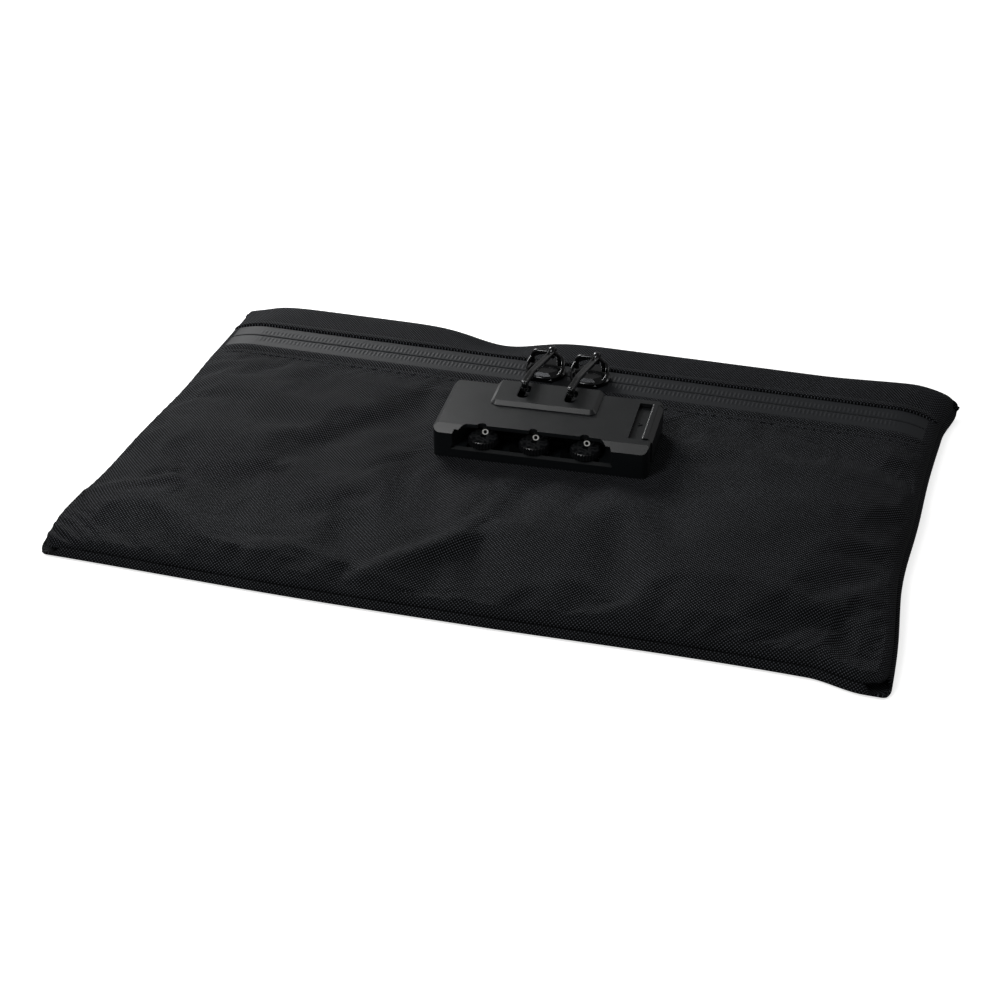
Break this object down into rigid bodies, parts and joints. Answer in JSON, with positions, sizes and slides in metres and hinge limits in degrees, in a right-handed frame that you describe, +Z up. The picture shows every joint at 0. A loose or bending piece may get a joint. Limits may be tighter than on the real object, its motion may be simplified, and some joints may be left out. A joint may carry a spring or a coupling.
{
  "type": "cash deposit bag",
  "caption": "Flat woven zip pouch with two zipper sliders whose long pulls reach into a combination lock on its front panel.",
  "frame": {"origin": "middle of the flat underside, on the surface the bag lies on", "axes": "+X along the zipper, towards the lock's release button; +Y from the front edge to the zipper edge; +Z up out of the front panel"},
  "size_m": [0.28, 0.178, 0.0288],
  "materials": {
    "woven_nylon": "matte plain weave",
    "coated_lining": "smooth coated",
    "seam_binding": "woven tape",
    "zipper_tape": "smooth polyurethane film",
    "zipper_coil": "moulded",
    "plated_metal": "black nickel, glossy",
    "pull_metal": "black nickel, glossy",
    "moulded_abs": "fine spark-eroded texture",
    "dial_plastic": "satin",
    "cam_metal": "turned",
    "latch_steel": "pressed",
    "spring_steel": "drawn",
    "bare_steel": "zinc plated"
  },
  "bodies": {
    "bag": {"back_lining": "coated_lining", "back_panel": "woven_nylon", "detent_spring": "spring_steel", "dial_spindle_1": "bare_steel", "dial_spindle_2": "bare_steel", "dial_spindle_3": "bare_steel", "front_lining": "coated_lining", "front_panel": "woven_nylon", "latch_spring": "spring_steel", "lock_base": "moulded_abs", "lock_clamp_screws": "bare_steel", "lock_cover": "moulded_abs", "lock_fixing_plate": "bare_steel", "seam_binding": "seam_binding", "top_band": "woven_nylon", "zipper_coil_lower": "zipper_coil", "zipper_coil_upper": "zipper_coil", "zipper_stops": "plated_metal", "zipper_tape_lower": "zipper_tape", "zipper_tape_upper": "zipper_tape"},
    "release": {"latch_bar": "latch_steel", "release_button": "moulded_abs"},
    "slider_left": {"slider_left_body": "plated_metal", "slider_left_bridge": "plated_metal"},
    "pull_left": {"pull_left": "pull_metal"},
    "slider_right": {"slider_right_body": "plated_metal", "slider_right_bridge": "plated_metal"},
    "pull_right": {"pull_right": "pull_metal"},
    "dial_1": {"dial_1": "dial_plastic", "code_cam_1": "cam_metal"},
    "dial_2": {"dial_2": "dial_plastic", "code_cam_2": "cam_metal"},
    "dial_3": {"dial_3": "dial_plastic", "code_cam_3": "cam_metal"}
  },
  "joints": [
    {"name": "slider_left_travel", "type": "slide", "parent": "bag", "child": "slider_left", "axis": [-1, 0, 0], "range_m": [0, 0.11]},
    {"name": "pull_left_swing", "type": "hinge", "parent": "slider_left", "child": "pull_left", "pos_m": [-0.0052, 0.058, 0.0205], "axis": [-1, 0, 0], "range_deg": [-3.4, 150]},
    {"name": "slider_right_travel", "type": "slide", "parent": "bag", "child": "slider_right", "axis": [1, 0, 0], "range_m": [0, 0.11]},
    {"name": "pull_right_swing", "type": "hinge", "parent": "slider_right", "child": "pull_right", "pos_m": [0.0118, 0.058, 0.0205], "axis": [-1, 0, 0], "range_deg": [-3.4, 150]},
    {"name": "dial_1_turn", "type": "hinge", "parent": "bag", "child": "dial_1", "pos_m": [-0.01371, -0.00332, 0.0152], "axis": [0, 0, 1], "continuous": true},
    {"name": "dial_2_turn", "type": "hinge", "parent": "bag", "child": "dial_2", "pos_m": [0.00437, -0.00238, 0.0152], "axis": [0, 0, 1], "continuous": true},
    {"name": "dial_3_turn", "type": "hinge", "parent": "bag", "child": "dial_3", "pos_m": [0.02244, -0.00143, 0.0152], "axis": [0, 0, 1], "continuous": true},
    {"name": "release_travel", "type": "slide", "parent": "bag", "child": "release", "axis": [0.9986, 0.0523, 0], "range_m": [0, 0.0025], "stiffness_N_per_m": 400, "springref_m": -0.001, "deforming": ["latch_spring"]}
  ]
}
